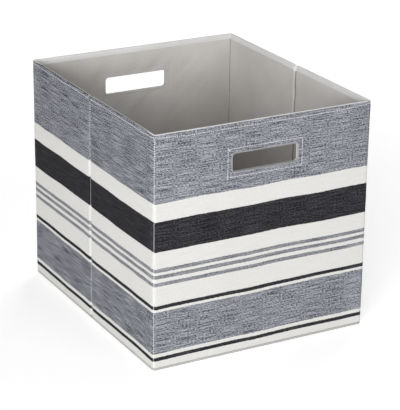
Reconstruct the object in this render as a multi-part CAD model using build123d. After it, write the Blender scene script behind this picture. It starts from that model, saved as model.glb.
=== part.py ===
from build123d import *

import os

# Folding fabric storage bin. Millimetres, +Z up, origin on the floor under the middle of the bin.
# +X is the bin's right side and +Y is its back. The walls with a hand hole are the front and
# back walls. Each side wall has a crease in its middle and folds inwards there.

# Overall size
WIDTH = 330.0
DEPTH = 381.0
HEIGHT = 330.0

# Layers of a wall, from the outside inwards
CLOTH = 0.8
BOARD = 2.4
LINING = 0.8
WALL = CLOTH + BOARD + LINING

# Gaps between pieces that move past each other
CLEARANCE = 0.3
CREASE_GAP = 3.0

# How far a board stops short of its cloth's ends, and of the rim's cap
BOARD_INSET = 4.0
BOARD_HEADROOM = 2.0

# Corners: radius of the rolled seam, and the room it leaves between a folded side and the back
CORNER_RADIUS = 2.0
FOLD_ROOM = 1.0

# Rim: the cloth turned over the top edge and down the inside
RIM_CAP = 1.0
RIM_TURN_DOWN = 8.0

# Hand holes
HANDLE_LENGTH = 100.0
HANDLE_HEIGHT = 26.0
HANDLE_CORNER = 5.0
HANDLE_Z = 275.0
FACING = 1.0

# Bottom: the base cloth, the seam around it and the loose stiff insert
BASE_CLOTH = 0.8
BASE_SEAM_TOP = 3.7
BASE_SEAM = 2.4
INSERT_BOARD = 2.2
INSERT_COVER = 0.6
INSERT_PLAY = 2.0
INSERT_CORNER = 6.0

# Worked out from the above
HALF_WIDTH = WIDTH / 2
HALF_DEPTH = DEPTH / 2
WALL_BOTTOM = BASE_SEAM_TOP + CLEARANCE
LAYERS_TOP = HEIGHT - RIM_CAP
LINING_TOP = HEIGHT - RIM_TURN_DOWN
CORNER_X = HALF_WIDTH - WALL + CORNER_RADIUS - FOLD_ROOM
CORNER_Y = HALF_DEPTH - WALL - CORNER_RADIUS
SIDE_END = CORNER_Y - CORNER_RADIUS - CLEARANCE
CREASE_EDGE = CREASE_GAP / 2


def save(node, solid):
    """Write one named piece."""
    solid.label = node
    export_step(solid, f"parts/{node}.step")


def block(low, high):
    """A box between two opposite corners."""
    size = [high[i] - low[i] for i in range(3)]
    centre = [(high[i] + low[i]) / 2 for i in range(3)]
    return Pos(*centre) * Box(*size)


def slab(side, run, depth, rise):
    """A flat piece of one wall: run along the wall, depth inwards from its outer face, rise in Z."""
    start, stop = run
    outer, inner = depth
    bottom, top = rise
    if side == "back":
        return block((start, HALF_DEPTH - inner, bottom), (stop, HALF_DEPTH - outer, top))
    if side == "front":
        return block((start, outer - HALF_DEPTH, bottom), (stop, inner - HALF_DEPTH, top))
    if side == "left":
        return block((outer - HALF_WIDTH, start, bottom), (inner - HALF_WIDTH, stop, top))
    return block((HALF_WIDTH - inner, start, bottom), (HALF_WIDTH - outer, stop, top))


def hand_hole(margin):
    """The hand hole's prism through the front and back walls, widened by a margin all round."""
    outline = RectangleRounded(
        HANDLE_LENGTH + 2 * margin,
        HANDLE_HEIGHT + 2 * margin,
        HANDLE_CORNER + margin,
    )
    return Pos(0, 0, HANDLE_Z) * extrude(Plane.XZ * outline, amount=DEPTH, both=True)


def rim_hem(side, run):
    """The turned top edge: a cap over the wall's layers and a band down the inside."""
    cap = slab(side, run, (0, WALL), (LAYERS_TOP, HEIGHT))
    band = slab(side, run, (WALL - LINING, WALL), (LINING_TOP, LAYERS_TOP))
    return cap + band


def wall_layers(side, run):
    """The cloth, board and lining of one stiff stretch of wall, without a hand hole."""
    start, stop = run
    board_run = (start + BOARD_INSET, stop - BOARD_INSET)
    board_rise = (WALL_BOTTOM, LAYERS_TOP - BOARD_HEADROOM)
    return {
        "outer_cloth": slab(side, run, (0, CLOTH), (WALL_BOTTOM, LAYERS_TOP)),
        "board": slab(side, board_run, (CLOTH, CLOTH + BOARD), board_rise),
        "lining": slab(side, run, (WALL - LINING, WALL), (WALL_BOTTOM, LINING_TOP)),
    }


def make_handle_wall(side):
    """Front or back wall: three layers, rim hem, and the facing that lines the hand hole."""
    run = (-HALF_WIDTH, HALF_WIDTH)
    cut = hand_hole(FACING)
    for layer, solid in wall_layers(side, run).items():
        save(f"{side}_{layer}", solid - cut)
    save(f"{side}_rim_hem", rim_hem(side, run))
    plug = slab(side, run, (0, WALL), (WALL_BOTTOM, LAYERS_TOP))
    save(f"{side}_handle_facing", (plug & cut) - hand_hole(0))


def make_side_panel(side, half, run):
    """Half of a side wall, from a corner to the crease: three layers and the rim hem."""
    for layer, solid in wall_layers(side, run).items():
        save(f"{side}_{half}_{layer}", solid)
    save(f"{side}_{half}_rim_hem", rim_hem(side, run))


def make_corner_seam(half, side, x, y):
    """The rolled seam down a vertical corner, centred on the line that the corner folds about."""
    height = HEIGHT - WALL_BOTTOM
    roll = Cylinder(CORNER_RADIUS, height, align=(Align.CENTER, Align.CENTER, Align.MIN))
    save(f"{half}_{side}_corner_seam", Pos(x, y, WALL_BOTTOM) * roll)


def make_base():
    """The base cloth and the seam that joins it to the walls, in four straight stretches."""
    low = (-HALF_WIDTH, -HALF_DEPTH, 0)
    save("base_cloth", block(low, (HALF_WIDTH, HALF_DEPTH, BASE_CLOTH)))
    rise = (BASE_CLOTH, BASE_SEAM_TOP)
    side_reach = HALF_DEPTH - BASE_SEAM
    for side in ("back", "front"):
        save(f"base_seam_{side}", slab(side, (-HALF_WIDTH, HALF_WIDTH), (0, BASE_SEAM), rise))
    for side in ("left", "right"):
        save(f"base_seam_{side}", slab(side, (-side_reach, side_reach), (0, BASE_SEAM), rise))


def make_insert():
    """The loose stiff bottom: a board under a cloth cover that wraps its edges."""
    length = WIDTH - 2 * (WALL + INSERT_PLAY)
    width = DEPTH - 2 * (WALL + INSERT_PLAY)
    outside = RectangleRounded(length, width, INSERT_CORNER)
    board_outline = offset(outside, amount=-INSERT_COVER)
    cover = extrude(outside, amount=INSERT_BOARD + INSERT_COVER)
    board = extrude(board_outline, amount=INSERT_BOARD)
    rest = Pos(0, 0, BASE_CLOTH)
    save("insert_board", rest * board)
    save("insert_cover", rest * (cover - board))


os.makedirs("parts", exist_ok=True)
for wall in ("back", "front"):
    make_handle_wall(wall)
for wall in ("left", "right"):
    make_side_panel(wall, "rear", (CREASE_EDGE, SIDE_END))
    make_side_panel(wall, "front", (-SIDE_END, -CREASE_EDGE))
for half, y in (("rear", CORNER_Y), ("front", -CORNER_Y)):
    for side, x in (("left", -CORNER_X), ("right", CORNER_X)):
        make_corner_seam(half, side, x, y)
make_base()
make_insert()
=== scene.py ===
"""Fabric storage bin: the cloth, hems, stitching and finishes over the CAD frame, in metres.

Every wall has its own place along it, t, measured from the wall's middle and running round the bin
anticlockwise as seen from above, a depth into the wall from its outer face, and a height z.
"""

import math
import random
from itertools import accumulate, product

import bmesh
import bpy
from mathutils import Matrix, Vector, noise


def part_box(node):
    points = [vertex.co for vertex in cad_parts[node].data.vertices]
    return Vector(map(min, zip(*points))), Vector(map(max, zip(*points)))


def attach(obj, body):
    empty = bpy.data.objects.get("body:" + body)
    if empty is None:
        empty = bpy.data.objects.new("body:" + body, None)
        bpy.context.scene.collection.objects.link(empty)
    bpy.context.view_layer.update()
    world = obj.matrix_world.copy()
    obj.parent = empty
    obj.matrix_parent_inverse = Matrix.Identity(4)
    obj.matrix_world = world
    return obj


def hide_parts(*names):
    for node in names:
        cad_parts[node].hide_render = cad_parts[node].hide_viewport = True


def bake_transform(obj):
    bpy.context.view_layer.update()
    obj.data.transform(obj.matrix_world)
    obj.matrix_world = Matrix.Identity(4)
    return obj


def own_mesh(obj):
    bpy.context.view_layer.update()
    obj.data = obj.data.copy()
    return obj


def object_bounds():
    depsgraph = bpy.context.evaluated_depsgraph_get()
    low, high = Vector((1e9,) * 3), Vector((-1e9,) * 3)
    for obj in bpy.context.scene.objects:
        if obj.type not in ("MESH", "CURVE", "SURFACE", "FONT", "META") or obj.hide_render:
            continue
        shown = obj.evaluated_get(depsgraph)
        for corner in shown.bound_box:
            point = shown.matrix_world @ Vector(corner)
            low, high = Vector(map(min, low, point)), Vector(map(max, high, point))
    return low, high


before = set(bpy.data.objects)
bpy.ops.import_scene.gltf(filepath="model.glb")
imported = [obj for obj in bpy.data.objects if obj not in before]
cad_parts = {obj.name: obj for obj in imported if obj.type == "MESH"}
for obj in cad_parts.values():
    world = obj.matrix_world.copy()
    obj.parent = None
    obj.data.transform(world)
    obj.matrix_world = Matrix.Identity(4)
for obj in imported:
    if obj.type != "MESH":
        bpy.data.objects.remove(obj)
CAD_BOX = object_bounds()

# ---- sizes, from the frame
MM = 0.001
UP = Vector((0, 0, 1))

HALF_WIDTH = CAD_BOX[1].x
HALF_DEPTH = CAD_BOX[1].y
RIM = CAD_BOX[1].z
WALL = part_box("left_rear_lining")[1].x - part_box("left_rear_outer_cloth")[0].x
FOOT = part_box("left_rear_outer_cloth")[0].z
HEM_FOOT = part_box("back_rim_hem")[0].z
PIVOT_DEPTH = 2.9 * MM  # just short of the pivot line, from the outer face
PIVOT = (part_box("rear_right_corner_seam")[0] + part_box("rear_right_corner_seam")[1]) / 2

FACING_LOW, FACING_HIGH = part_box("front_handle_facing")
FACING = 1 * MM  # how far the CAD facing reaches past the hand hole
HOLE_HALF_LENGTH = (FACING_HIGH.x - FACING_LOW.x) / 2 - FACING
HOLE_HALF_HEIGHT = (FACING_HIGH.z - FACING_LOW.z) / 2 - FACING
HOLE_Z = (FACING_HIGH.z + FACING_LOW.z) / 2
HOLE_CORNER = 5 * MM
CORNER_T, CORNER_UP = HOLE_HALF_LENGTH - HOLE_CORNER, HOLE_HALF_HEIGHT - HOLE_CORNER

# ---- sizes of the soft work
CLOTH = 0.5 * MM
LINING_CLOTH = 0.4 * MM
LINING_PROUD = 0.15 * MM  # the lining stands out of the wall's CAD face by this
LINING_END = 0.5 * MM  # the linings stop this short of the inner corner
BEND = 5 * MM  # radius of the outer cloth round a vertical corner
ARC = BEND * math.pi / 2
CORNER_REACH = 5.5 * MM  # how far a corner's strip of cloth runs onto each flat wall
FOOT_ROUND = 0.8 * MM
EVEN_EDGE = 14 * MM  # a wall is even this near its rim and its foot

RIM_ROUND = WALL / 2
RIM_TURN = math.radians(56)  # how far over the rim the striped cloth turns
TOP_WAVER = 0.8 * MM  # how unevenly it ends under the hem,
TOP_WAVER_LENGTH = 5 * MM
TOP_STRETCH = 1 * MM  # taken up in this much of the cloth
HEM_START = math.radians(43)  # how far over the rim the hem starts
COVER = {"left": math.radians(47)}  # it starts this much later on a wall, which shows more stripes,
COVER_FADE = 25 * MM  # but not so near its corners
NOTCH = {"left": 2.6 * MM, "right": 1.0 * MM}  # the rim dips by this at the side walls' fold
NOTCH_WIDTH = 5 * MM
NOTCH_REACH = 25 * MM  # how far down the wall the dip is felt

GROOVE_HALF = 4.5 * MM  # the side walls' fold, where there is no board
GROOVE_DEPTH = 2.6 * MM
RIDGE_HALF = 2.4 * MM  # the lining stands out as a narrow ridge behind that groove
RIDGE = 1.9 * MM
PINCH = 0.7 * MM  # and is pinched in at each side of it,
PINCH_WIDTH = 0.6 * MM
VALLEY = 1.5 * MM  # deepest in front of it
VALLEY_AT = 3.2 * MM
WRINKLE = 0.7 * MM  # the lining's wrinkles go this far either way from a middle depth,
WRINKLE_MIDDLE = 0.35 * MM  # so that they clear the board behind and the folded wall in front
FLAT_UNDER_HEM = 25 * MM  # it lies flat near the hem, the foot and the corners
FLAT_OVER_FOOT = 60 * MM
FLAT_BY_CORNER = 90 * MM

TOPSTITCH_Z = RIM - 4.6 * MM
TOPSTITCH_SAG = 2.2 * MM  # the row of stitches runs this much lower along the front and back,
TOPSTITCH_FALL = 50 * MM  # reached this far from their corners
CREASE_ROW = 1.6 * MM  # the crease's row of stitches runs this far behind its middle
BOX_MARGIN = 6.5 * MM  # from the hand hole to the stitched box round it
STITCH_PITCH = 3.1 * MM
STITCH_LENGTH = 2.3 * MM
STITCH_RADIUS = 0.33 * MM
RIM_PULL, RIM_PULL_WIDTH = 0.28 * MM, 1.3 * MM  # how deep a row of stitches draws the cloth in, how wide
BOX_PULL, BOX_PULL_WIDTH = 0.25 * MM, 1.4 * MM
HEM_PULL, HEM_PULL_WIDTH = 0.2 * MM, 1.2 * MM
LINING_PULL, LINING_PULL_WIDTH = 0.2 * MM, 1.6 * MM
PULL_LIMIT = 0.5 * MM  # the board lets the outer cloth go in no further
SEAM_RISE, SEAM_WIDTH = 0.35 * MM, 0.8 * MM  # a corner seam stands out by this

ENDS = ("front", "back")
SIDES = ("left", "right")
# Each wall: its middle at floor level, the way t runs, and its half length.
WALLS = {
    "front": (Vector((0, -HALF_DEPTH, 0)), Vector((1, 0, 0)), HALF_WIDTH),
    "right": (Vector((HALF_WIDTH, 0, 0)), Vector((0, 1, 0)), HALF_DEPTH),
    "back": (Vector((0, HALF_DEPTH, 0)), Vector((-1, 0, 0)), HALF_WIDTH),
    "left": (Vector((-HALF_WIDTH, 0, 0)), Vector((0, -1, 0)), HALF_DEPTH),
}
ORDER = list(WALLS)
# Where each wall's cloth was cut along the roll, so that no two walls have the same slubs.
CUT_AT = {"front": 0.0, "right": 0.91, "back": 1.87, "left": 2.73}


# ---- places on the walls
def smooth(x):
    """0 below 0, 1 above 1, and an S between."""
    x = min(max(x, 0.0), 1.0)
    return x * x * (3 - 2 * x)


def bell(x, width):
    """1 at x = 0, falling away over about width."""
    return math.exp(-((x / width) ** 2))


def ripple(point, length, height):
    """Unevenness of up to about height either way, over about length."""
    return height * noise.noise(point / length)


def outward(wall):
    along = WALLS[wall][1]
    return Vector((along.y, -along.x, 0))


def straight(wall):
    """Half the flat length of a wall, between its rounded corners."""
    return WALLS[wall][2] - BEND


def on_wall(wall, t, depth, z):
    """The point at t along the wall, depth inside its outer face; past its flat part it turns the corner."""
    middle, along, _ = WALLS[wall]
    out = outward(wall)
    past = abs(t) - straight(wall)
    if past <= 0:
        return middle + along * t - out * depth + UP * z
    side = math.copysign(1, t)
    angle = min(past / BEND, math.pi / 2)
    beyond = max(past - ARC, 0)
    centre = middle + along * side * straight(wall) - out * BEND
    turned = out * math.cos(angle) + along * side * math.sin(angle)
    return centre + turned * (BEND - depth) - out * beyond + UP * z


def neighbour(wall, t):
    """The wall that t has reached round the corner, and the place along it."""
    side = math.copysign(1, t)
    other = ORDER[(ORDER.index(wall) + int(side)) % len(ORDER)]
    return other, t - side * (straight(wall) + ARC + straight(other))


def seam_t(wall, side):
    """Where the corner seam runs, half way round the bend."""
    return side * (straight(wall) + ARC / 2)


def crease(wall, t):
    """1 in the middle of a side wall's fold and 0 outside it."""
    if wall not in SIDES or abs(t) >= GROOVE_HALF:
        return 0.0
    return math.cos(math.pi / 2 * t / GROOVE_HALF) ** 2


def topstitch_z(wall, t):
    """Height of the row of stitches under the rim; on an end wall it drops away from the corners."""
    if wall in SIDES:
        return TOPSTITCH_Z
    from_corner = straight(wall) - CORNER_REACH - abs(t)
    return TOPSTITCH_Z - TOPSTITCH_SAG * smooth(from_corner / TOPSTITCH_FALL)


def rim_dip(wall, t):
    """How far the rim sinks at a side wall's fold."""
    return NOTCH.get(wall, 0.0) * bell(t, NOTCH_WIDTH)


def cover(wall, t):
    """How much further over the rim the striped cloth shows, as a length, away from the corners."""
    from_corner = straight(wall) - CORNER_REACH - abs(t)
    return RIM_ROUND * COVER.get(wall, 0.0) * smooth(from_corner / COVER_FADE)


def valley_t(wall):
    """Where the lining of a side wall is pinched in deepest: in front of the ridge at its fold."""
    return -VALLEY_AT * WALLS[wall][1].y


def lining_fold(wall, t):
    """How far the lining stands out at a side wall's fold: a ridge, pinched in at each side."""
    if wall not in SIDES or abs(t) >= GROOVE_HALF:
        return 0.0
    ridge = RIDGE * math.cos(math.pi / 2 * min(abs(t) / RIDGE_HALF, 1)) ** 2
    pinch = PINCH * bell(abs(t) - RIDGE_HALF - PINCH_WIDTH, PINCH_WIDTH)
    return ridge - max(pinch, VALLEY * bell(t - valley_t(wall), PINCH_WIDTH))


def box_distance(t, z, grow):
    """How far (t, z) is from the outline of the hand hole grown by grow, inside or out."""
    along = abs(t) - HOLE_HALF_LENGTH - grow
    up = abs(z - HOLE_Z) - HOLE_HALF_HEIGHT - grow
    if along > 0 and up > 0:
        return math.hypot(along, up)
    return abs(max(along, up))


def pulled_in(wall, t, z, point):
    """How deep stitches and tension draw the outer cloth in, and how far it stands proud (negative)."""
    fade = smooth((RIM - z) / EVEN_EDGE) * smooth((z - FOOT) / EVEN_EDGE)
    depth = fade * (ripple(point, 75 * MM, 0.45 * MM) + ripple(point, 17 * MM, 0.14 * MM))
    uneven = 1 + ripple(point, 5 * MM, 0.7)
    depth += RIM_PULL * bell(z - topstitch_z(wall, t), RIM_PULL_WIDTH) * uneven
    if wall in ENDS:
        depth += BOX_PULL * bell(box_distance(t, z, BOX_MARGIN), BOX_PULL_WIDTH) * uneven
    from_seam = abs(abs(t) - abs(seam_t(wall, 1)))
    rise = SEAM_RISE * bell(from_seam, SEAM_WIDTH) * smooth((RIM - z) / (5 * MM))
    return min(depth, PULL_LIMIT) - rise


def outer_profile(v):
    """Depth and height of the outer cloth at v up it: a rounded foot, the flat wall, then over the rim."""
    if v < FOOT + FOOT_ROUND:
        below = FOOT + FOOT_ROUND - v
        return FOOT_ROUND - math.sqrt(max(FOOT_ROUND**2 - below**2, 0)), v
    over = v - (RIM - RIM_ROUND)
    if over <= 0:
        return 0.0, v
    angle = over / RIM_ROUND
    return RIM_ROUND * (1 - math.cos(angle)), RIM - RIM_ROUND * (1 - math.sin(angle))


def outer_place(wall):
    """The outer face of the striped cloth, as a function of t and v."""

    def place(t, v):
        near_top = smooth((v - (RIM - RIM_ROUND)) / TOP_STRETCH)
        waver = TOP_WAVER * noise.noise(Vector((t / TOP_WAVER_LENGTH, ORDER.index(wall), 0)))
        v += near_top * (waver + cover(wall, t))
        depth, z = outer_profile(v)
        flat = on_wall(wall, t, depth, z)
        depth += pulled_in(wall, t, z, flat) + crease(wall, t) * GROOVE_DEPTH
        z -= rim_dip(wall, t) * smooth((z - (RIM - NOTCH_REACH)) / NOTCH_REACH)
        return on_wall(wall, t, depth, z)

    return place


HEM_TURN = RIM_ROUND * (math.pi - HEM_START)
HEM_LENGTH = HEM_TURN + (RIM - RIM_ROUND - HEM_FOOT) + 0.5 * MM
HEM_GROWTH = 0.12 * MM  # the hem lies this far outside the striped cloth,
HEM_BULGE = 0.28 * MM  # bulges this much more down its inner face,
HEM_TUCK = 0.12  # and turns back in over this share of that face, at its edge
HEM_PROUD_CORNER = 0.08 * MM  # it stands out of the inner face by this at most at a corner,
HEM_PROUD = 0.5 * MM  # where the walls fold together, and by so much more away from it
HEM_FLAT_BY_CORNER = 30 * MM
MITRE_AT, MITRE_WIDTH = 1.3 * MM, 0.5 * MM


def hem_profile(v):
    """Depth and height of the hem at v along it: over the rim, then down the inside to a turned edge."""
    radius = RIM_ROUND + HEM_GROWTH
    if v <= HEM_TURN:
        angle = HEM_START + v / RIM_ROUND
        return RIM_ROUND - radius * math.cos(angle), RIM - RIM_ROUND + radius * math.sin(angle)
    down = (v - HEM_TURN) / (HEM_LENGTH - HEM_TURN)
    depth = WALL + HEM_GROWTH + HEM_BULGE * math.sin(math.pi * min(down, 0.5))
    depth -= (HEM_GROWTH + HEM_BULGE) * smooth((down - (1 - HEM_TUCK)) / HEM_TUCK)
    return depth, RIM - RIM_ROUND - (v - HEM_TURN)


def mitre(t):
    """The deepest that the right hem may reach: its end at the front right pivot is cut back inside,
    so that it clears the front wall's hem as the side folds."""
    from_end = t + PIVOT.y
    clear_of_hem = WALL + 1 * MM
    return PIVOT_DEPTH + (clear_of_hem - PIVOT_DEPTH) * smooth((from_end - MITRE_AT) / MITRE_WIDTH)


def hem_place(wall):
    """The face of the rim's hem, as a function of t and v."""

    def place(t, v):
        depth, z = hem_profile(v + cover(wall, t) * max(1 - v / HEM_TURN, 0))
        proud = HEM_PROUD_CORNER + HEM_PROUD * smooth((straight(wall) - abs(t)) / HEM_FLAT_BY_CORNER)
        depth = min(depth, WALL + proud)
        if wall == "right":
            depth = min(depth, mitre(t))
        share = depth / WALL
        point = on_wall(wall, t, depth, z)
        pull = HEM_PULL * bell(z - topstitch_z(wall, t), HEM_PULL_WIDTH)
        depth += smooth((share - 0.9) / 0.1) * (ripple(point, 9 * MM, 0.14 * MM) - pull)
        depth += crease(wall, t) * GROOVE_DEPTH * max(1 - share, 0) + lining_fold(wall, t) * min(share, 1)
        z += ripple(point, 22 * MM, 0.15 * MM) - rim_dip(wall, t)
        return on_wall(wall, t, depth, z)

    return place


def lining_place(wall):
    """The storage side of the lining; it ends in a sharp inner corner, so t doesn't turn."""
    middle, along, half_length = WALLS[wall]
    out = outward(wall)

    def place(t, v):
        point = middle + along * t + UP * v
        fade = smooth((HEM_FOOT - v) / FLAT_UNDER_HEM) * smooth((v - FOOT) / FLAT_OVER_FOOT)
        fade *= smooth((half_length - abs(t)) / FLAT_BY_CORNER)
        slanted = Vector(((t + v) / (22 * MM), (t - v) / (95 * MM), ORDER.index(wall) * 7.3))
        slack = (ripple(point, 90 * MM, 0.45) + 1.7 * noise.noise(slanted)) * MM
        depth = WALL + LINING_PROUD + fade * (WRINKLE_MIDDLE + WRINKLE * math.tanh(slack / WRINKLE))
        depth += lining_fold(wall, t)
        if wall in ENDS:
            depth -= LINING_PULL * bell(box_distance(t, v, BOX_MARGIN), LINING_PULL_WIDTH)
        return middle + along * t - out * depth + UP * v

    return place


# ---- meshes
def spread(start, end, step, marks=(), fine=None, reach=None):
    """Places from start to end, about step apart, or fine apart within reach of a mark."""
    places = [start]
    while True:
        near = any(abs(places[-1] - mark) < reach for mark in marks)
        stride = fine if near else step
        if places[-1] + stride >= end - 0.3 * stride:
            return places + [end]
        places.append(places[-1] + stride)


def in_hand_hole(t, z):
    """Whether (t, z) is inside the rounded hand hole."""
    along, up = abs(t) - CORNER_T, abs(z - HOLE_Z) - CORNER_UP
    return math.hypot(max(along, 0), max(up, 0)) < HOLE_CORNER


def hand_hole_shaded_edge(t, z):
    """The point of the hand hole's outline nearest to (t, z)."""
    up = z - HOLE_Z
    side, way = math.copysign(1, t), math.copysign(1, up)
    out_t, out_up = abs(t) - CORNER_T, abs(up) - CORNER_UP
    if out_t > 0 and out_up > 0:
        scale = HOLE_CORNER / math.hypot(out_t, out_up)
        return side * (CORNER_T + out_t * scale), HOLE_Z + way * (CORNER_UP + out_up * scale)
    if HOLE_HALF_LENGTH - abs(t) < HOLE_HALF_HEIGHT - abs(up):
        return side * HOLE_HALF_LENGTH, z
    return t, HOLE_Z + way * HOLE_HALF_HEIGHT


def cloth_uv(wall):
    """Where a point of a wall's cloth was on the roll, given its cell's middle; the slubs jump at a seam."""

    def uv(t, v, cell_t):
        if abs(cell_t) > abs(seam_t(wall, 1)):
            other, there = neighbour(wall, t)
            return there + CUT_AT[other], v
        return t + CUT_AT[wall], v

    return uv


def plain_uv(t, v, _cell_t):
    return t, v


def show(name, data):
    """A new object of the scene with this data."""
    thing = bpy.data.objects.new(name, data)
    bpy.context.scene.collection.objects.link(thing)
    return thing


def new_piece(name, verts, faces, uvs, material, weld=False):
    """A smooth-shaded mesh object with sharp open edges; uvs has one pair for each corner of each face."""
    mesh = bpy.data.meshes.new(name)
    mesh.from_pydata(verts, [], faces)
    layer = mesh.uv_layers.new(name="cloth")
    layer.data.foreach_set("uv", [x for pair in uvs for x in pair])
    bm = bmesh.new()
    bm.from_mesh(mesh)
    if weld:
        bmesh.ops.remove_doubles(bm, verts=bm.verts, dist=0.001 * MM)
    for face in bm.faces:
        face.smooth = True
    for edge in bm.edges:
        edge.smooth = not edge.is_boundary
    bm.to_mesh(mesh)
    bm.free()
    mesh.materials.append(material)
    return show(name, mesh)


def grid(name, ts, vs, place, material, uv=plain_uv, hand_hole=False, flip=False, weld=False):
    """A cloth of one quad for each cell of ts by vs, with the hand hole cut out of it if it has one."""
    columns, rows = len(ts) - 1, len(vs) - 1
    cut = set()
    for i, j in product(range(columns), range(rows)) if hand_hole else ():
        if in_hand_hole((ts[i] + ts[i + 1]) / 2, (vs[j] + vs[j + 1]) / 2):
            cut.add((i, j))
    verts, faces, uvs, index = [], [], [], {}

    def corner(i, j):
        t, v = ts[i], vs[j]
        if cut and any((i - a, j - b) in cut for a in (0, 1) for b in (0, 1)):
            t, v = hand_hole_shaded_edge(t, v)
        if (i, j) not in index:
            index[i, j] = len(verts)
            verts.append(place(t, v))
        return index[i, j], t, v

    for j, i in product(range(rows), range(columns)):
        if (i, j) not in cut:
            around = [(i, j), (i + 1, j), (i + 1, j + 1), (i, j + 1)]
            corners = [corner(*c) for c in (reversed(around) if flip else around)]
            faces.append([c[0] for c in corners])
            middle = (ts[i] + ts[i + 1]) / 2
            uvs += [uv(t, v, middle) for _, t, v in corners]
    return new_piece(name, verts, faces, uvs, material, weld)


def thicken(piece, thickness):
    """Gives a sheet its thickness, behind its face."""
    shell = piece.modifiers.new("thickness", "SOLIDIFY")
    shell.thickness = thickness
    shell.offset = -1


def rounded_box(half_a, half_b, radius, turn_steps, side_steps, z=0.0):
    """Points (a, b, z) anticlockwise round a rounded rectangle: turn_steps a corner, side_steps a side."""
    ways = [(1, 1), (-1, 1), (-1, -1), (1, -1), (1, 1)]
    centres = [Vector((a * (half_a - radius), b * (half_b - radius), z)) for a, b in ways]
    points = []
    for quarter, (centre, after) in enumerate(zip(centres, centres[1:])):
        for k in range(turn_steps + 1):
            angle = math.pi / 2 * (quarter + k / turn_steps)
            spoke = Vector((math.cos(angle), math.sin(angle), 0)) * radius
            points.append(centre + spoke)
        points += [points[-1].lerp(after + spoke, k / side_steps) for k in range(1, side_steps)]
    return points


# ---- how pieces move
SIDE_BODIES = {"left": ("left_rear", "left_front"), "right": ("right_rear", "right_front")}
END_BODY = {"front": "front_wall", "back": "back_wall"}


def bend_at_crease(piece, wall):
    """Bakes the piece's place into its mesh; the side wall's two halves are looked up, but the piece is not
    made to follow or bend between them.
    """
    rear, front = SIDE_BODIES[wall]
    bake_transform(piece)


def corner_wall(end, side):
    """The end wall's t runs to this side (+1 or -1) at the corner with the side wall."""
    return math.copysign(1, WALLS[end][1].x * WALLS[side][0].x)


def bend_at_corner(piece, end, side):
    """Bakes the piece's place into its mesh; it is not made to bend.
    The front right corner has no joint of its own, so there it stays with the front wall."""
    if (end, side) == ("front", "right"):
        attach(piece, "front_wall")
        return
    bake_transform(piece)


# ---- materials
class Finish:
    """A material being made, with short calls for its nodes."""

    def __init__(self, name, roughness=0.9, specular=0.25, sheen=0.0):
        self.material = bpy.data.materials.new(name)
        self.material.use_nodes = True
        self.tree = self.material.node_tree
        self.shader = self.tree.nodes["Principled BSDF"]
        self.shader.inputs["Roughness"].default_value = roughness
        self.shader.inputs["Specular IOR Level"].default_value = specular
        self.shader.inputs["Sheen Weight"].default_value = sheen
        self.shader.inputs["Sheen Roughness"].default_value = 0.6
        self.uv = self.add("ShaderNodeUVMap", uv_map="cloth").outputs["UV"]

    def put(self, value, socket):
        """Links an output to a socket, or sets the socket to a plain value."""
        if isinstance(value, bpy.types.NodeSocket):
            self.tree.links.new(value, socket)
        else:
            socket.default_value = value

    def add(self, kind, inputs=None, **settings):
        """A new node with these settings, its inputs linked or set."""
        node = self.tree.nodes.new(kind)
        for key, value in settings.items():
            setattr(node, key, value)
        for socket, value in (inputs or {}).items():
            self.put(value, node.inputs[socket])
        return node

    def math(self, operation, a, b=0.0):
        return self.add("ShaderNodeMath", {0: a, 1: b}, operation=operation).outputs[0]

    def axes(self, vector):
        return self.add("ShaderNodeSeparateXYZ", {0: vector}).outputs[:2]

    def noise(self, per_metre, detail=2.0, roughness=0.5, offset=0.0):
        """Noise over the cloth, with so many cells a metre along it and up it."""
        place = {"Vector": self.uv, "Scale": (*per_metre, 1), "Location": (offset, offset * 1.7, 0)}
        moved = self.add("ShaderNodeMapping", place).outputs[0]
        inputs = {"Vector": moved, "Scale": 1.0, "Detail": detail, "Roughness": roughness}
        return self.add("ShaderNodeTexNoise", inputs, noise_dimensions="2D").outputs["Fac"]

    def remap(self, value, low, high, to_low=0.0, to_high=1.0):
        limits = {"From Min": low, "From Max": high, "To Min": to_low, "To Max": to_high}
        return self.add("ShaderNodeMapRange", {"Value": value, **limits}).outputs["Result"]

    def weigh(self, a, b, share):
        """A sum in which b has this share and a the rest."""
        return self.math("ADD", self.math("MULTIPLY", a, 1 - share), self.math("MULTIPLY", b, share))

    def mix(self, share, a, b):
        """Colours or outputs a and b, with this share of b."""
        a, b = (x if isinstance(x, bpy.types.NodeSocket) else (*x, 1) for x in (a, b))
        inputs = {"Factor": share, "A": a, "B": b}
        return self.add("ShaderNodeMix", inputs, data_type="RGBA").outputs["Result"]

    def weave(self, pitch):
        """The bumps of a plain weave, thread over thread, at pitch metres."""
        waves = [self.math("SINE", self.math("MULTIPLY", x, math.pi / pitch)) for x in self.axes(self.uv)]
        return self.math("MULTIPLY", *waves)

    def bump(self, height, distance, strength=1.0, under=None):
        inputs = {"Height": height, "Strength": strength, "Distance": distance}
        if under is not None:
            inputs["Normal"] = under
        return self.add("ShaderNodeBump", inputs).outputs["Normal"]

    def done(self, colour, normal):
        self.put(colour, self.shader.inputs["Base Color"])
        self.put(normal, self.shader.inputs["Normal"])
        return self.material


# The stripes from the floor up: yarn, and the height in mm where it ends.
STRIPES = [
    ("white", 13.6), ("black", 19.0), ("white", 24.6), ("chambray", 84.0), ("white", 88.0),
    ("black", 94.2), ("white", 120.8), ("line", 126.0), ("white", 131.2), ("line", 137.0),
    ("white", 141.0), ("line", 146.2), ("white", 169.5), ("black", 211.5), ("white", 236.0),
    ("chambray", 335.0),
]
STRIPE_SPAN = STRIPES[-1][1] * MM
STRIPE_DRIFT = 2.2 * MM  # how far the stripes wander up and down, and how ragged their edges are
STRIPE_RAG = 0.55 * MM
YARN_CODE = {"white": (0, 0, 0, 1), "chambray": (1, 0, 0, 1), "black": (0, 1, 0, 1), "line": (0, 0, 1, 1)}


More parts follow.
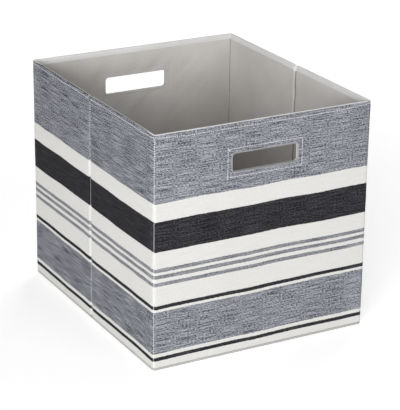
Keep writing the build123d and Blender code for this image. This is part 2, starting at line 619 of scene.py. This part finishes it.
def stripe_masks(finish):
    """Three sockets that are 1 where the chambray, the black and the thin grey lines are woven."""
    _, v = finish.axes(finish.uv)
    drift = finish.remap(finish.noise((9, 5), detail=1), 0, 1, -STRIPE_DRIFT, STRIPE_DRIFT)
    ragged = finish.remap(finish.noise((260, 700), detail=1), 0, 1, -STRIPE_RAG, STRIPE_RAG)
    height = finish.math("ADD", finish.math("ADD", v, drift), ragged)
    ramp = finish.add("ShaderNodeValToRGB")
    finish.put(finish.math("DIVIDE", height, STRIPE_SPAN), ramp.inputs["Fac"])
    ramp.color_ramp.interpolation = "CONSTANT"
    stops = ramp.color_ramp.elements
    stops.remove(stops[1])
    stops[0].position = 0
    stops[0].color = YARN_CODE[STRIPES[0][0]]
    for (_, start), (yarn, _) in zip(STRIPES, STRIPES[1:]):
        stops.new(start * MM / STRIPE_SPAN).color = YARN_CODE[yarn]
    split = finish.add("ShaderNodeSeparateColor")
    finish.put(ramp.outputs["Color"], split.inputs[0])
    return split.outputs[:3]


THREAD_PITCH = 0.75 * MM  # of the striped cloth's weave
DOT_PITCH = 1.1 * MM  # of the dots that bond the unwoven cloth
PLY_TWIST = 0.5 * MM  # one turn of the sewing thread's plies


def striped_cloth(name, pale_blue, pale_ink, half_range):
    """Plain-woven cotton: heathered chambray, near black and off-white stripes.
    The smaller half_range is, the more the heather's dark and pale yarns stand apart."""
    finish = Finish(name, roughness=0.95, specular=0.06, sheen=0.01)
    chambray, black, line = stripe_masks(finish)
    slub = finish.noise((30, 950), detail=1, roughness=0.4)
    fleck = finish.noise((360, 900), detail=0, offset=3.1)
    patch = finish.noise((14, 30), detail=2, offset=8.2)
    streak = finish.weigh(slub, fleck, 0.48)
    heather = finish.remap(streak, 0.5 - half_range, 0.5 + half_range)
    heather = finish.math("ADD", heather, finish.remap(patch, 0.2, 0.8, -0.07, 0.07))
    blue = finish.mix(heather, (0.016, 0.018, 0.027), pale_blue)
    ink = finish.mix(finish.remap(streak, 0.42, 0.66), (0.002, 0.002, 0.003), pale_ink)
    grey = finish.mix(finish.remap(streak, 0.35, 0.62), (0.085, 0.087, 0.10), (0.27, 0.275, 0.295))
    cream = finish.mix(finish.remap(streak, 0.3, 0.7), (0.56, 0.555, 0.533), (0.62, 0.615, 0.593))
    colour = finish.mix(chambray, cream, blue)
    colour = finish.mix(black, colour, ink)
    colour = finish.mix(line, colour, grey)
    crossing = finish.weave(THREAD_PITCH)
    # Painted shade of the weave: the cloth is darkened in step with its thread crossings.
    colour = finish.mix(finish.remap(crossing, -1, 1, 0.0, 0.16), colour, (0.10, 0.10, 0.11))
    relief = finish.bump(crossing, 0.12 * MM, 0.6)
    return finish.done(colour, finish.bump(streak, 0.35 * MM, 0.5, under=relief))


def felted_cloth(name, dark, light, dots=0.6, valley_shade_at=None):
    """The felted, unwoven cloth of the lining and hem, with its grid of small bonded dots.
    The last argument is the t of an upright line in a side wall's fold, where painted shade darkens the
    cloth in the fold's valley."""
    finish = Finish(name, roughness=0.85, specular=0.2, sheen=0.05)
    fibres = finish.noise((420, 420), detail=3, roughness=0.65)
    cloud = finish.noise((11, 11), detail=2, offset=5.3)
    mottled = finish.weigh(fibres, cloud, 0.55)
    colour = finish.mix(finish.remap(mottled, 0.33, 0.67), dark, light)
    if valley_shade_at is not None:
        # Painted shade: a dark line down the valley of the side wall's fold.
        u, _ = finish.axes(finish.uv)
        from_line = finish.math("ABSOLUTE", finish.math("SUBTRACT", u, valley_shade_at))
        valley_shade = finish.remap(from_line, 0.6 * MM, 1.8 * MM, 0.8, 0.0)
        colour = finish.mix(valley_shade, colour, (0.12, 0.115, 0.11))
    relief = finish.bump(finish.weave(DOT_PITCH), 0.1 * MM, dots)
    return finish.done(colour, finish.bump(fibres, 0.15 * MM, 0.5, under=relief))


def sewing_thread():
    """Pale polyester thread, with the twist of its plies."""
    finish = Finish("seam_thread", roughness=0.6, specular=0.35, sheen=0.1)
    u, v = finish.axes(finish.uv)
    twist = finish.math("SINE", finish.math("MULTIPLY", finish.math("ADD", u, v), math.tau / PLY_TWIST))
    shade = finish.remap(finish.noise((300, 300)), 0.3, 0.7)
    colour = finish.mix(shade, (0.66, 0.675, 0.71), (0.80, 0.81, 0.83))
    return finish.done(colour, finish.bump(twist, 0.06 * MM, 0.6))


def chipboard():
    """Grey-brown pressed board, flecked with chips. It is on CAD nodes, which have no cloth uv."""
    finish = Finish("chipboard", roughness=0.8)
    finish.uv = finish.add("ShaderNodeTexCoord").outputs["Object"]
    flecks = finish.noise((520, 520), detail=4, roughness=0.7)
    broad = finish.noise((25, 25), detail=2)
    mixed = finish.weigh(flecks, broad, 0.3)
    colour = finish.mix(finish.remap(mixed, 0.35, 0.65), (0.16, 0.125, 0.09), (0.30, 0.25, 0.19))
    return finish.done(colour, finish.bump(flecks, 0.15 * MM, 0.5))


STRIPED = striped_cloth("striped_cloth", (0.362, 0.370, 0.410), (0.045, 0.043, 0.049), 0.19)
# The side walls' cloth is a darker, flatter copy of the same striped cloth: painted shade for how the light
# falls on the side walls.
SHADED_SIDE_STRIPED = striped_cloth("side_striped_cloth", (0.300, 0.309, 0.338), (0.026, 0.025, 0.029), 0.135)
LINING_TONES = (0.59, 0.57, 0.545), (0.69, 0.672, 0.648)
LINING = felted_cloth("lining_cloth", *LINING_TONES)
# Each side wall's lining has painted shade down the valley of its fold.
SIDE_LINING = {side: felted_cloth(f"{side}_lining_cloth", *LINING_TONES, valley_shade_at=valley_t(side))
               for side in SIDES}
HEM = felted_cloth("hem_cloth", (0.72, 0.714, 0.702), (0.82, 0.812, 0.80), dots=0.35)
# Dark grey for the outer rows of the hand holes' turned edges: painted shade in the hole.
SHADED_EDGE = felted_cloth("hand_hole_shaded_edge", (0.20, 0.203, 0.215), (0.30, 0.303, 0.315), dots=0.35)
BASE = felted_cloth("base_cloth", (0.34, 0.338, 0.33), (0.42, 0.418, 0.41))
THREAD = sewing_thread()
BOARD = chipboard()


def carry_over(slot, material):
    """Gives every CAD node of a material slot its finish."""
    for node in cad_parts.values():
        for used in node.material_slots:
            if used.material and used.material.name.split(".")[0] == slot:
                used.material = material


# ---- the striped outer cloth
OUTER_TOP = RIM - RIM_ROUND + RIM_ROUND * RIM_TURN
CELL = 3.5 * MM
HOLE_MARKS = [side * (HOLE_HALF_LENGTH + grow) for side in (-1, 1) for grow in (0, BOX_MARGIN)]


def wall_rows(hand_hole=False):
    """Heights of the outer cloth's rows, closer where it turns and where it is sewn."""
    marks = [FOOT, TOPSTITCH_Z - TOPSTITCH_SAG, TOPSTITCH_Z, OUTER_TOP]
    if hand_hole:
        for reach in (0, BOX_MARGIN):
            marks += [HOLE_Z - HOLE_HALF_HEIGHT - reach, HOLE_Z + HOLE_HALF_HEIGHT + reach]
    return spread(FOOT - 0.1 * MM, OUTER_TOP, CELL, marks, 0.8 * MM, 3.6 * MM)


def end_columns():
    """Places along an end wall's cloth, closer at the hand hole and its stitched box."""
    reach = straight("front") - CORNER_REACH
    return spread(-reach, reach, CELL, HOLE_MARKS, 1.0 * MM, 3.6 * MM)


def side_ends(wall):
    """Where a side wall's cloth stops at its rear and front, as t from low to high.
    At the front right corner, which has no joint, it runs on to the pivot."""
    reach = straight(wall) - CORNER_REACH
    if wall == "right":
        return -(PIVOT.y - 0.1 * MM), reach
    return -reach, reach


def side_columns(wall):
    """Places along a side wall's cloth, closest in the fold at its middle."""
    low, high = side_ends(wall)
    return spread(low, high, CELL, [0.0], 0.6 * MM, GROOVE_HALF + CELL)


def corner_columns(end, side):
    """Places round a corner's strip of cloth, in order along the end wall's t."""
    way = corner_wall(end, side)
    start = straight(end) - CORNER_REACH
    stop = straight(end) + ARC + CORNER_REACH
    if (end, side) == ("front", "right"):
        stop = straight(end) + ARC + (HALF_DEPTH - BEND - PIVOT.y)
    places = spread(start, stop, 0.55 * MM)
    return places if way > 0 else [-t for t in reversed(places)]


def sew_on(piece, slot, size, *nodes, mitred=1.0):
    """Hides the CAD nodes that a piece of cloth stands for; the piece, its finish slot and the flat size it
    was cut to are not used.
    mitred, the share of the cut's rectangle left where it is notched to turn a corner, is not used."""
    if nodes:
        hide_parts(*nodes)


CORNERS = [(end, side) for end in ("back", "front") for side in SIDES]


def corner_name(end, side):
    return f"{'rear' if end == 'back' else 'front'}_{side}"


def cut_cloth(name, slot, columns, rows, place, material, nodes=(), thickness=CLOTH, mitred=1.0, **options):
    """A piece of cloth over columns by rows, which span the flat size that it was cut to."""
    piece = grid(name, columns, rows, place, material, **options)
    thicken(piece, thickness)
    sew_on(piece, slot, (columns[-1] - columns[0], rows[-1] - rows[0]), *nodes, mitred=mitred)
    return piece


def halves(side, part):
    """The CAD nodes of one kind in a side wall's two halves."""
    return [f"{side}_{half}_{part}" for half in ("rear", "front")]


def make_outer_cloth():
    for end in ENDS:
        columns, rows = end_columns(), wall_rows(hand_hole=True)
        piece = cut_cloth(f"{end}_cloth", "striped_cloth", columns, rows, outer_place(end), STRIPED,
                          [f"{end}_outer_cloth"], uv=cloth_uv(end), hand_hole=True)
        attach(piece, END_BODY[end])
    rows = wall_rows()
    for side in SIDES:
        piece = cut_cloth(f"{side}_cloth", "striped_cloth", side_columns(side), rows, outer_place(side),
                          SHADED_SIDE_STRIPED, halves(side, "outer_cloth"), uv=cloth_uv(side))
        bend_at_crease(piece, side)
    for end, side in CORNERS:
        name = corner_name(end, side)
        piece = cut_cloth(f"{name}_corner_cloth", "striped_cloth", corner_columns(end, side), rows,
                          outer_place(end), STRIPED, [f"{name}_corner_seam"], uv=cloth_uv(end))
        bend_at_corner(piece, end, side)


def make_tucked_edge():
    """The side cloth's seam allowance at the front right corner, tucked behind the front cloth.
    It turns with the side and keeps that corner closed when the bin is folded."""
    radius, steps = 2.55 * MM, 10
    top, taper = RIM - 3 * MM, 1.5 * MM
    pivot = Vector((PIVOT.x, -PIVOT.y, 0))
    around = [pivot]
    for k in range(steps + 1):
        angle = -math.pi / 2 * (1 - k / steps)
        around.append(pivot + Vector((math.cos(angle), math.sin(angle), 0)) * radius)
    around.append(pivot)
    core = pivot + Vector((1, -1, 0)) * radius * 0.35

    def place(k, v):
        inward = smooth((v - (top - taper)) / taper) * 0.8
        return around[k].lerp(core, inward) + UP * v

    def uv(k, v, _cell):
        return k * 0.4 * MM, v

    rows = spread(FOOT, top - taper, 8 * MM) + [top - 0.9 * MM, top - 0.4 * MM, top]
    piece = grid("front_right_tucked_edge", range(len(around)), rows, place, STRIPED, uv, weld=True)
    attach(piece, "right_front")


# ---- linings, hems and hand holes
LINING_CELL = 4 * MM
HEM_CELL = 3 * MM


def make_linings():
    top = HEM_FOOT + 1 * MM
    near_hole = HOLE_HALF_HEIGHT + BOX_MARGIN + LINING_CELL
    rows = spread(FOOT, top, LINING_CELL, [HOLE_Z], 1.0 * MM, near_hole)
    for end in ENDS:
        reach = HALF_WIDTH - WALL - LINING_END
        columns = spread(-reach, reach, LINING_CELL, HOLE_MARKS, 1.0 * MM, LINING_CELL)
        piece = cut_cloth(f"{end}_lining_cloth", "lining_cloth", columns, rows, lining_place(end), LINING,
                          [f"{end}_lining"], LINING_CLOTH, hand_hole=True, flip=True)
        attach(piece, END_BODY[end])
    rows = spread(FOOT, top, LINING_CELL)
    for side in SIDES:
        reach = HALF_DEPTH - WALL - LINING_END
        columns = spread(-reach, reach, LINING_CELL, [0.0], 0.6 * MM, GROOVE_HALF + LINING_CELL)
        piece = cut_cloth(f"{side}_lining_cloth", "lining_cloth", columns, rows, lining_place(side),
                          SIDE_LINING[side], halves(side, "lining"), LINING_CLOTH, flip=True)
        bend_at_crease(piece, side)


def make_hems():
    rows = spread(0, HEM_LENGTH, 0.5 * MM)
    for end in ENDS:
        reach = straight(end) - CORNER_REACH
        piece = cut_cloth(f"{end}_hem", "hem_cloth", spread(-reach, reach, HEM_CELL), rows, hem_place(end),
                          HEM, [f"{end}_rim_hem"])
        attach(piece, END_BODY[end])
    for side in SIDES:
        low, high = side_ends(side)
        columns = spread(low, high, HEM_CELL, [0.0, low], 0.6 * MM, GROOVE_HALF + HEM_CELL)
        piece = cut_cloth(f"{side}_hem", "hem_cloth", columns, rows, hem_place(side), HEM,
                          halves(side, "rim_hem"))
        bend_at_crease(piece, side)
    for end, side in CORNERS:
        piece = cut_cloth(f"{corner_name(end, side)}_corner_hem", "hem_cloth", corner_columns(end, side),
                          rows, hem_place(end), HEM, mitred=0.75)
        bend_at_corner(piece, end, side)


def hole_outline(grow):
    """Points round the hand hole grown by grow, anticlockwise seen from outside, and back to the first."""
    points = rounded_box(HOLE_HALF_LENGTH + grow, HOLE_HALF_HEIGHT + grow, HOLE_CORNER + grow, 8, 12)
    return points + points[:1]


# The turned edge of a hand hole, from the outer cloth through to the lining: how far it is out from
# the hole's outline, and how deep, both in mm.
LIP = [(1.3, 0.6), (1.05, 0.2), (0.8, -0.15), (0.45, -0.25), (0.12, 0.0), (0.0, 0.7), (0.0, 2.0),
       (0.0, 3.3), (0.15, 4.0), (0.6, 4.4), (1.2, 4.5), (1.7, 4.3), (1.9, 4.0)]
LIP_SHADED_ROWS = 6  # so many of its rows are dark grey, painted shade on the hole's turned edge; the rest is lining


def make_hand_hole_lips():
    rings = [hole_outline(out * MM) for out, _ in LIP]
    columns, rows = range(len(rings[0])), range(len(LIP))
    step = 4 * (HOLE_HALF_LENGTH + HOLE_HALF_HEIGHT) / len(columns)

    def uv(k, row, _cell):
        return k * step, row * 0.7 * MM

    for end in ENDS:

        def place(k, row, end=end):
            along, up, _ = rings[row][k]
            wobble = 0.12 * MM * noise.noise(Vector((along, up, 0)) / (6 * MM))
            return on_wall(end, along, LIP[row][1] * MM + wobble, HOLE_Z + up)

        piece = grid(f"{end}_hand_hole_lip", columns, rows, place, SHADED_EDGE, uv, flip=True, weld=True)
        piece.data.materials.append(LINING)
        for polygon in piece.data.polygons:
            polygon.material_index = int(polygon.index // (len(columns) - 1) >= LIP_SHADED_ROWS)
        thicken(piece, 0.45 * MM)
        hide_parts(f"{end}_handle_facing")
        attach(piece, END_BODY[end])


# ---- stitches
# A stitch's rings from end to end: how far along, how wide and how high, in its lengths and radii.
STITCH_RINGS = [(-0.5, 0.25, -0.6), (-0.42, 0.75, -0.1), (-0.2, 1.0, 0.35),
                (0.2, 1.0, 0.35), (0.42, 0.75, -0.1), (0.5, 0.25, -0.6)]
STITCH_SIDES = 6


def add_stitch(verts, faces, uvs, centre, way, normal, length):
    """One stitch lying on the cloth, its two ends drawn into it."""
    across = normal.cross(way).normalized()
    first = len(verts)
    for share, width, lift in STITCH_RINGS:
        middle = centre + way * share * length + normal * lift * STITCH_RADIUS
        for k in range(STITCH_SIDES):
            angle = math.tau * k / STITCH_SIDES
            ring = across * math.cos(angle) + normal * math.sin(angle)
            verts.append(middle + ring * STITCH_RADIUS * width)
    rings = len(STITCH_RINGS)
    for j in range(rings - 1):
        for k in range(STITCH_SIDES):
            after = (k + 1) % STITCH_SIDES
            low, high = first + j * STITCH_SIDES, first + (j + 1) * STITCH_SIDES
            faces.append([low + k, low + after, high + after, high + k])
            cell = ((k, j), (k + 1, j), (k + 1, j + 1), (k, j + 1))
            uvs += [(a * 0.3 * MM, b * length / rings) for a, b in cell]
    faces.append([first + k for k in reversed(range(STITCH_SIDES))])
    uvs += [(0, 0)] * STITCH_SIDES
    last = first + (rings - 1) * STITCH_SIDES
    faces.append([last + k for k in range(STITCH_SIDES)])
    uvs += [(0, length)] * STITCH_SIDES


def sew(name, place, lines, seed, pitch=STITCH_PITCH, length=STITCH_LENGTH):
    """Rows of stitches on the surface place(t, v), each row from one (t, v) to another."""
    rng = random.Random(seed)
    verts, faces, uvs = [], [], []
    tiny = 0.4 * MM
    for (t0, v0), (t1, v1) in lines:
        run = math.hypot(t1 - t0, v1 - v0)
        count = max(1, round(run / pitch))
        for k in range(count):
            share = (k + 0.5) / count
            t, v = t0 + (t1 - t0) * share, v0 + (v1 - v0) * share
            along_t = (place(t + tiny, v) - place(t - tiny, v)) / (2 * tiny)
            along_v = (place(t, v + tiny) - place(t, v - tiny)) / (2 * tiny)
            way = (along_t * (t1 - t0) + along_v * (v1 - v0)).normalized()
            normal = along_t.cross(along_v).normalized()
            way.rotate(Matrix.Rotation(math.radians(rng.uniform(-5, 5)), 3, normal))
            sidestep = normal.cross(way) * rng.uniform(-0.1, 0.1) * MM
            long = min(length, run) * rng.uniform(0.9, 1.06)
            add_stitch(verts, faces, uvs, place(t, v) + sidestep, way, normal, long)
    piece = new_piece(name, verts, faces, uvs, THREAD)
    return piece


def knot(t, v, size=1.3 * MM):
    """The crossed short stitches that lock the end of a row."""
    flat = ((t - size, v - size * 0.5), (t + size, v + size * 0.5))
    steep = ((t - size * 0.4, v + size), (t + size * 0.4, v - size))
    return [flat, steep]


def handle_box_lines():
    """The stitched box round a hand hole: one side runs a little past it, and one corner is locked."""
    half_t, half_up = HOLE_HALF_LENGTH + BOX_MARGIN, HOLE_HALF_HEIGHT + BOX_MARGIN
    low, high = HOLE_Z - half_up, HOLE_Z + half_up
    overrun = 3.5 * MM
    lines = [((-half_t, low - overrun), (-half_t, high)), ((half_t, low), (half_t, high)),
             ((-half_t, low), (half_t, low)), ((-half_t, high), (half_t, high))]
    return lines + knot(-half_t, high + 1 * MM) + knot(-half_t + 2.2 * MM, high - 1.5 * MM)


def hem_stitch_v(wall, t):
    """How far along the hem the row of stitches comes out on the inside."""
    return HEM_TURN + (RIM - RIM_ROUND - topstitch_z(wall, t))


def rim_row(wall, low, high, height):
    """A row of stitches from t = low to t = high, as short straight runs at height(wall, t)."""
    stops = spread(low, high, 4 * STITCH_PITCH)
    return [((a, height(wall, a)), (b, height(wall, b))) for a, b in zip(stops, stops[1:])]


def make_end_stitches():
    for seed, end in enumerate(ENDS):
        body, reach = END_BODY[end], straight(end) - CORNER_REACH
        row = rim_row(end, -reach, reach, topstitch_z)
        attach(sew(f"{end}_rim_stitches", outer_place(end), row, seed), body)
        box = handle_box_lines()
        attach(sew(f"{end}_handle_stitches", outer_place(end), box, 10 + seed, 2.7 * MM, 2.1 * MM), body)
        inner = rim_row(end, -reach, reach, hem_stitch_v)
        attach(sew(f"{end}_inner_rim_stitches", hem_place(end), inner, 20 + seed), body)


def make_side_stitches():
    for seed, side in enumerate(SIDES):
        low, high = side_ends(side)
        gap = GROOVE_HALF + 1.2 * MM
        for half, body in zip(("rear", "front"), SIDE_BODIES[side]):
            toward_high = (half == "rear") == (WALLS[side][1].y > 0)
            near, ends = (gap, (gap, high)) if toward_high else (-gap, (low, -gap))
            lines = rim_row(side, *ends, topstitch_z) + knot(near, TOPSTITCH_Z, 1.0 * MM)
            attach(sew(f"{side}_{half}_rim_stitches", outer_place(side), lines, 30 + seed), body)
            inner = rim_row(side, max(ends[0], low + 4 * MM), ends[1], hem_stitch_v)
            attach(sew(f"{side}_{half}_inner_rim_stitches", hem_place(side), inner, 40 + seed), body)
        behind = CREASE_ROW * WALLS[side][1].y
        lines = [((behind, FOOT + 5 * MM), (behind, TOPSTITCH_Z - 2 * MM))]
        piece = sew(f"{side}_crease_stitches", outer_place(side), lines, 50 + seed, length=1.5 * MM)
        bend_at_crease(piece, side)


def make_corner_stitches():
    for seed, (end, side) in enumerate(CORNERS):
        way = corner_wall(end, side)
        seam = seam_t(end, way)
        start = way * (straight(end) - CORNER_REACH)
        columns = corner_columns(end, side)
        stop = columns[-1] if way > 0 else columns[0]
        foot, meet = (seam, FOOT + 3 * MM), (seam, TOPSTITCH_Z + 1.6 * MM)
        lines = [(foot, (seam, TOPSTITCH_Z)), ((start, TOPSTITCH_Z), meet), (meet, (stop, TOPSTITCH_Z))]
        piece = sew(f"{corner_name(end, side)}_corner_stitches", outer_place(end), lines, 60 + seed)
        bend_at_corner(piece, end, side)


# ---- the base and the loose bottom
def stacked_rings(name, levels, half_x, half_y, corner, material, cap_first=False):
    """A closed skin over rings, each given by how far it is inset and its height; the last one is capped."""
    rings = []
    for inset, z in levels:
        radius = max(corner - inset, 0.6 * MM)
        rings.append(rounded_box(half_x - inset, half_y - inset, radius, 7, 26, z))
    verts = [point for level in rings for point in level]
    count = len(rings[0])
    around = rings[0] + rings[0][:1]
    run = list(accumulate(((b - a).length for a, b in zip(around, around[1:])), initial=0.0))
    rise = list(accumulate(map(math.dist, levels, levels[1:]), initial=0.0))
    faces, uvs = [], []
    for j in range(len(rings) - 1):
        flat = abs(levels[j + 1][1] - levels[j][1]) < abs(levels[j + 1][0] - levels[j][0])
        for k in range(count):
            cell = [(j, k), (j, k + 1), (j + 1, k + 1), (j + 1, k)]
            faces.append([a * count + b % count for a, b in cell])
            if flat:
                uvs += [rings[a][b % count].xy for a, b in cell]
            else:
                uvs += [(run[b], rise[a]) for a, b in cell]
    for j in (len(rings) - 1, 0) if cap_first else (len(rings) - 1,):
        order = list(range(count))
        if j == 0:
            order.reverse()
        faces.append([j * count + k for k in order])
        uvs += [rings[j][k].xy for k in order]
    return new_piece(name, verts, faces, uvs, material)


ROLL_LOW, ROLL_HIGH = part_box("base_seam_left")
ROLL_TOP, ROLL_WIDTH = ROLL_HIGH.z, ROLL_HIGH.x - ROLL_LOW.x
BASE_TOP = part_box("base_cloth")[1].z
BASE_SAG = 0.3 * MM  # height of the base cloth's underside
BASE_STITCH_INSET = 7 * MM


def base_levels():
    """Rings of the base cloth from its middle inside, over the roll that the walls are sewn to, to its
    middle underneath."""
    inner, sewn = ROLL_WIDTH, BASE_STITCH_INSET
    inside = [(inset, BASE_TOP) for inset in (158 * MM, 80 * MM, 12 * MM, inner + 0.4 * MM)]
    roll = [(inner, BASE_TOP + 0.5 * MM), (inner, ROLL_TOP - 0.8 * MM),
            (inner - 0.5 * MM, ROLL_TOP - 0.1 * MM), (inner / 2, ROLL_TOP), (0.6 * MM, ROLL_TOP - 0.1 * MM),
            (0.15 * MM, ROLL_TOP - 0.7 * MM), (0.05 * MM, ROLL_TOP / 2), (0.2 * MM, 1.0 * MM),
            (0.7 * MM, 0.45 * MM), (1.6 * MM, BASE_SAG)]
    seam = [(sewn - 1.5 * MM, BASE_SAG), (sewn, BASE_SAG + 0.15 * MM), (sewn + 1.5 * MM, BASE_SAG)]
    return inside + roll + seam + [(inset * MM, BASE_SAG) for inset in (20, 80, 158)]


def fold_with_base(piece):
    """The piece goes with the back wall, with a mesh of its own."""
    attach(piece, "back_wall")
    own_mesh(piece)


def make_base():
    piece = stacked_rings("base_floor", base_levels(), HALF_WIDTH, HALF_DEPTH, BEND, BASE, cap_first=True)
    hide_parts("base_cloth", *[f"base_seam_{wall}" for wall in ORDER])
    fold_with_base(piece)
    half_x, half_y = HALF_WIDTH - BASE_STITCH_INSET, HALF_DEPTH - BASE_STITCH_INSET
    corners = [(-half_x, -half_y), (-half_x, half_y), (half_x, half_y), (half_x, -half_y)]
    lines = list(zip(corners, corners[1:] + corners[:1]))

    def underside(x, y):
        return Vector((x, -y, BASE_SAG))

    fold_with_base(sew("base_stitches", underside, lines, 70, pitch=4 * MM, length=3 * MM))


def make_insert_cover():
    low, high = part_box("insert_cover")
    top, edge = high.z, 0.7 * MM
    levels = [(0.5 * MM, low.z), (0, low.z + 0.3 * MM), (0, top - edge)]
    for k in range(1, 5):
        angle = math.pi / 2 * k / 4
        levels.append((edge * (1 - math.cos(angle)), top - edge * (1 - math.sin(angle))))
    levels += [(inset * MM, top) for inset in (3, 6, 10, 15, 22, 30, 40, 52, 66, 82, 100, 120, 140, 154)]
    piece = stacked_rings("insert_cover_cloth", levels, high.x, high.y, 6 * MM, LINING)
    for vertex in piece.data.vertices:
        near_edge = min(high.x - abs(vertex.co.x), high.y - abs(vertex.co.y))
        if vertex.co.z > top - 0.01 * MM:
            puff = noise.noise(vertex.co / (60 * MM)) * 0.22 * MM * smooth(near_edge / (15 * MM))
            vertex.co.z += puff - 0.12 * MM * bell(near_edge - 5 * MM, 3 * MM)
    thicken(piece, LINING_CLOTH)
    sew_on(piece, "lining_cloth", (2 * high.x + 4 * MM, 2 * high.y + 4 * MM), "insert_cover")
    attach(piece, "insert")


# ---- the room
def pale_floor():
    """The plain white floor, wide enough to have no edge in view."""
    finish = Finish("floor", roughness=0.95, specular=0.0)
    finish.uv = finish.add("ShaderNodeTexCoord").outputs["Object"]
    colour = finish.mix(finish.noise((1.5, 1.5)), (0.93, 0.93, 0.93), (0.95, 0.95, 0.95))
    finish.put(colour, finish.shader.inputs["Base Color"])
    finish.shader.inputs["Emission Color"].default_value = (1, 1, 1, 1)
    finish.shader.inputs["Emission Strength"].default_value = 0.4
    mesh = bpy.data.meshes.new("floor")
    reach = 12.0
    corners = [(-reach, -reach, 0), (reach, -reach, 0), (reach, reach, 0), (-reach, reach, 0)]
    mesh.from_pydata(corners, [], [(0, 1, 2, 3)])
    mesh.materials.append(finish.material)
    floor = show("floor", mesh)
    floor.location.z = CAD_BOX[0].z - 0.2 * MM


def soft_light(name, place, size, power):
    """A large square lamp facing the bin."""
    lamp = bpy.data.lights.new(name, "AREA")
    lamp.size = size
    lamp.energy = power
    light = show(name, lamp)
    light.location = place
    light.rotation_mode = "QUATERNION"
    light.rotation_quaternion = (Vector(place) - Vector((0, 0, RIM / 2))).to_track_quat("Z", "Y")


def make_room():
    world = bpy.data.worlds.new("white_room")
    world.use_nodes = True
    background = world.node_tree.nodes["Background"]
    background.inputs["Color"].default_value = (1, 1, 1, 1)
    background.inputs["Strength"].default_value = 0.30
    scene = bpy.context.scene
    scene.world = world
    scene.view_settings.view_transform = "Standard"
    scene.view_settings.look = "None"
    pale_floor()
    soft_light("key", (-2.1, -2.3, 0.74), 1.6, 102)
    soft_light("side", (0.9, -2.8, 1.6), 1.4, 10)
    soft_light("fill", (2.2, 2.3, 0.8), 1.6, 64)


def make_camera():
    """A long lens above the near left corner."""
    azimuth, elevation, roll = math.radians(29.04), math.radians(20.97), math.radians(0.77)
    away = Vector((math.sin(azimuth) * math.cos(elevation), math.cos(azimuth) * math.cos(elevation),
                   -math.sin(elevation)))
    level = Vector((math.cos(azimuth), -math.sin(azimuth), 0))
    upright = level.cross(away)
    right = level * math.cos(roll) + upright * math.sin(roll)
    up = upright * math.cos(roll) - level * math.sin(roll)
    lens = bpy.data.cameras.new("camera")
    lens.sensor_width = 36
    lens.lens = 153.8
    lens.clip_start = 0.05
    camera = show("camera", lens)
    camera.location = (-1.127, -2.045, 1.038)
    camera.rotation_mode = "QUATERNION"
    camera.rotation_quaternion = Matrix((right, up, -away)).transposed().to_quaternion()
    bpy.context.scene.camera = camera


# ---- the bin
make_outer_cloth()
make_tucked_edge()
make_linings()
make_hems()
make_hand_hole_lips()
make_end_stitches()
make_side_stitches()
make_corner_stitches()
make_base()
make_insert_cover()
for slot_name, slot_finish in (("striped_cloth", STRIPED), ("hem_cloth", HEM), ("lining_cloth", LINING),
                               ("seam_thread", THREAD), ("base_cloth", BASE), ("chipboard", BOARD)):
    carry_over(slot_name, slot_finish)
make_room()
make_camera()
